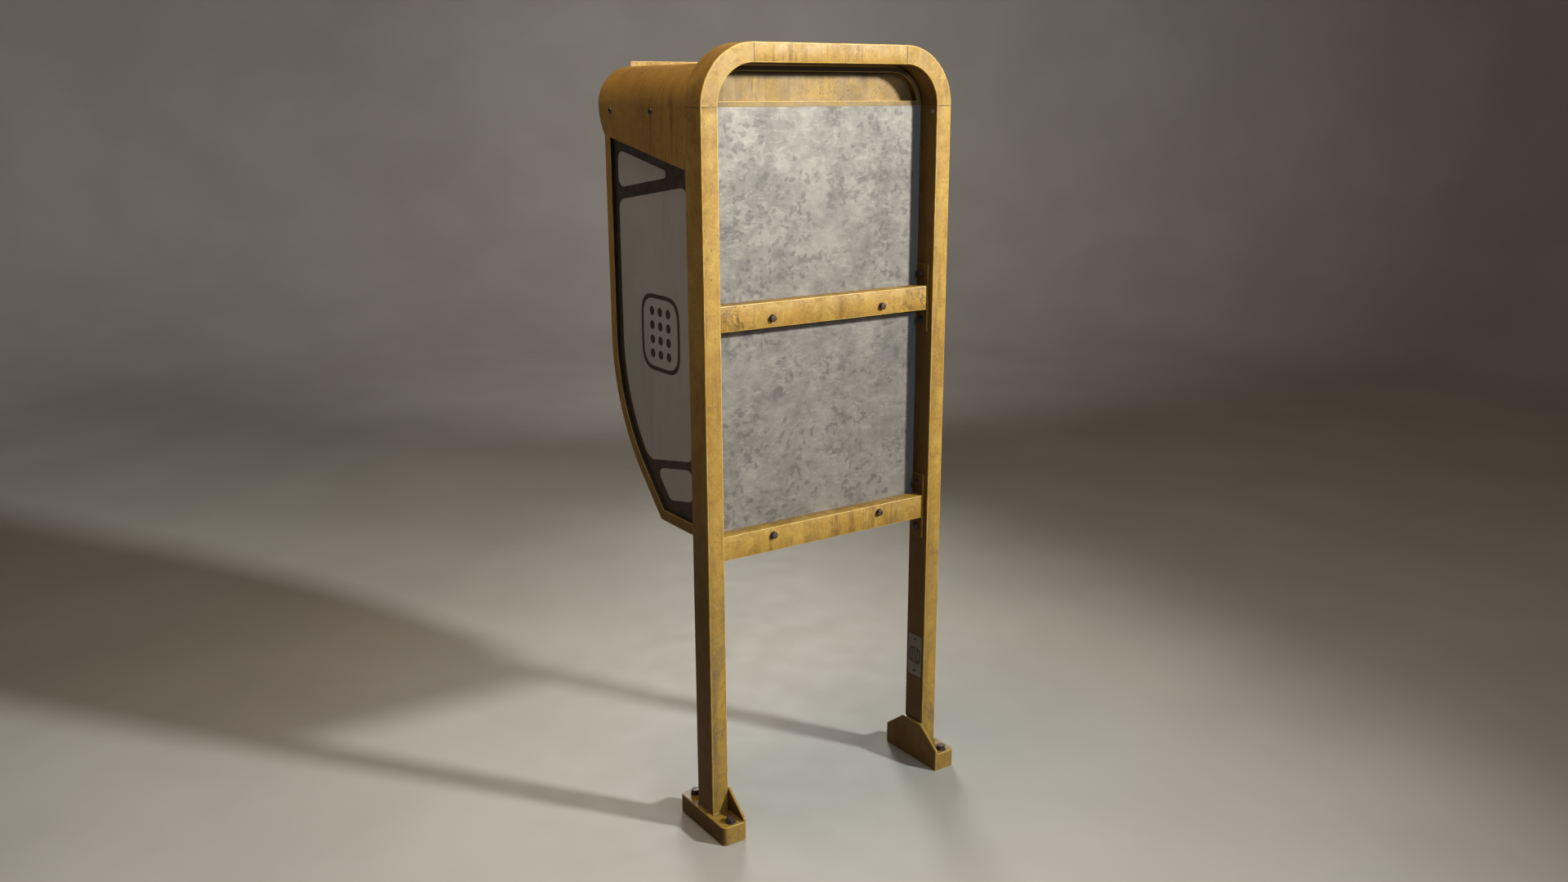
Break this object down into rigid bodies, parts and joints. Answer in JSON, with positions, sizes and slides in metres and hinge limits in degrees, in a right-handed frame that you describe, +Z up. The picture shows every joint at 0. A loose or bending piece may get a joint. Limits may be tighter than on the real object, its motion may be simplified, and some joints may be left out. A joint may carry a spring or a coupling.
{
  "type": "payphone stand",
  "caption": "Two-post street payphone stand with a rounded arch, hood, framed side panels, galvanised back panel and a coin and card telephone with a lift-off handset.",
  "frame": {"origin": "centre of the whole object's footprint box, on the ground under the feet", "axes": "+Z up; -Y is the side the user stands on, +Y is the back; +X is the user's right hand side"},
  "size_m": [0.8272, 0.6364, 2.127],
  "materials": {
    "paint": "ochre-yellow enamel, semi-matt, streaked and worn",
    "galvanised": "hot-dip galvanised sheet, spangled and dull",
    "rusty_bolt": "rusty hexagon heads",
    "frosted_panel": "frosted sheet with a dark printed border",
    "rubber": "matt black rubber",
    "label": "dull grey plate",
    "lamp": "opal diffuser",
    "dark_enamel": "dark grey textured enamel",
    "steel_face": "brushed stainless steel",
    "black_plastic": "black moulded plastic",
    "display": "smoked display lens",
    "board": "green board",
    "key_metal": "satin chromed zinc alloy"
  },
  "bodies": {
    "stand": {"anchor_bolt_left_front": "rusty_bolt", "anchor_bolt_left_rear": "rusty_bolt", "anchor_bolt_right_front": "rusty_bolt", "anchor_bolt_right_rear": "rusty_bolt", "arch_elbow_left": "paint", "arch_elbow_right": "paint", "arch_top_rail": "paint", "back_panel": "galvanised", "card_reader": "black_plastic", "circuit_board": "board", "coin_slot_plate": "key_metal", "coin_validator": "black_plastic", "cord_gland": "key_metal", "display_window": "display", "foot_left": "paint", "foot_right": "paint", "handset_cradle": "black_plastic", "hood_back_tray": "paint", "hood_front_panel": "paint", "hood_lamp": "lamp", "hood_shell": "paint", "panel_bolt_lower_left": "rusty_bolt", "panel_bolt_lower_right": "rusty_bolt", "panel_bolt_middle_left": "rusty_bolt", "panel_bolt_middle_right": "rusty_bolt", "phone_backplate": "steel_face", "phone_front_plate": "steel_face", "phone_housing": "dark_enamel", "post_left": "paint", "post_plate": "label", "post_right": "paint", "rail_lower": "paint", "rail_middle": "paint", "shelf": "paint", "side_panel_left": "frosted_panel", "side_panel_right": "frosted_panel", "side_seal_left": "rubber", "side_seal_right": "rubber", "side_trim_left": "paint", "side_trim_right": "paint", "sign_plate": "paint"},
    "handset": {"handset": "black_plastic"},
    "hook": {"hook_lever": "key_metal"},
    "vault": {"vault_door": "dark_enamel", "coin_box": "galvanised"},
    "vault_lock": {"vault_lock": "key_metal"},
    "return_flap": {"coin_return_flap": "key_metal"},
    "volume": {"volume_button": "key_metal"},
    "key_1": {"key_1": "key_metal"},
    "key_2": {"key_2": "key_metal"},
    "key_3": {"key_3": "key_metal"},
    "key_4": {"key_4": "key_metal"},
    "key_5": {"key_5": "key_metal"},
    "key_6": {"key_6": "key_metal"},
    "key_7": {"key_7": "key_metal"},
    "key_8": {"key_8": "key_metal"},
    "key_9": {"key_9": "key_metal"},
    "key_star": {"key_star": "key_metal"},
    "key_0": {"key_0": "key_metal"},
    "key_hash": {"key_hash": "key_metal"}
  },
  "joints": [
    {"name": "handset_lift", "type": "slide", "parent": "stand", "child": "handset", "axis": [0, -0.5, 0.866], "range_m": [0, 0.12]},
    {"name": "hook_rise", "type": "hinge", "parent": "stand", "child": "hook", "pos_m": [-0.103, 0.05415, 1.464], "axis": [-1, 0, 0], "range_deg": [0, 8]},
    {"name": "vault_pull", "type": "slide", "parent": "stand", "child": "vault", "axis": [0, -1, 0], "range_m": [0, 0.095]},
    {"name": "lock_turn", "type": "hinge", "parent": "vault", "child": "vault_lock", "pos_m": [0, 0.03715, 1.1325], "axis": [0, -1, 0], "range_deg": [0, 90]},
    {"name": "flap_swing", "type": "hinge", "parent": "stand", "child": "return_flap", "pos_m": [0.0975, 0.04215, 1.2515], "axis": [1, 0, 0], "range_deg": [0, 60]},
    {"name": "volume_press", "type": "slide", "parent": "stand", "child": "volume", "axis": [0, 1, 0], "range_m": [0, 0.002], "stiffness_N_per_m": 300},
    {"name": "press_1", "type": "slide", "parent": "stand", "child": "key_1", "axis": [0, 1, 0], "range_m": [0, 0.0025], "stiffness_N_per_m": 300},
    {"name": "press_2", "type": "slide", "parent": "stand", "child": "key_2", "axis": [0, 1, 0], "range_m": [0, 0.0025], "stiffness_N_per_m": 300},
    {"name": "press_3", "type": "slide", "parent": "stand", "child": "key_3", "axis": [0, 1, 0], "range_m": [0, 0.0025], "stiffness_N_per_m": 300},
    {"name": "press_4", "type": "slide", "parent": "stand", "child": "key_4", "axis": [0, 1, 0], "range_m": [0, 0.0025], "stiffness_N_per_m": 300},
    {"name": "press_5", "type": "slide", "parent": "stand", "child": "key_5", "axis": [0, 1, 0], "range_m": [0, 0.0025], "stiffness_N_per_m": 300},
    {"name": "press_6", "type": "slide", "parent": "stand", "child": "key_6", "axis": [0, 1, 0], "range_m": [0, 0.0025], "stiffness_N_per_m": 300},
    {"name": "press_7", "type": "slide", "parent": "stand", "child": "key_7", "axis": [0, 1, 0], "range_m": [0, 0.0025], "stiffness_N_per_m": 300},
    {"name": "press_8", "type": "slide", "parent": "stand", "child": "key_8", "axis": [0, 1, 0], "range_m": [0, 0.0025], "stiffness_N_per_m": 300},
    {"name": "press_9", "type": "slide", "parent": "stand", "child": "key_9", "axis": [0, 1, 0], "range_m": [0, 0.0025], "stiffness_N_per_m": 300},
    {"name": "press_star", "type": "slide", "parent": "stand", "child": "key_star", "axis": [0, 1, 0], "range_m": [0, 0.0025], "stiffness_N_per_m": 300},
    {"name": "press_0", "type": "slide", "parent": "stand", "child": "key_0", "axis": [0, 1, 0], "range_m": [0, 0.0025], "stiffness_N_per_m": 300},
    {"name": "press_hash", "type": "slide", "parent": "stand", "child": "key_hash", "axis": [0, 1, 0], "range_m": [0, 0.0025], "stiffness_N_per_m": 300}
  ],
  "couplings": [
    {"joint": "hook_rise", "follows": "handset_lift", "rad_per_m": 1.15}
  ]
}
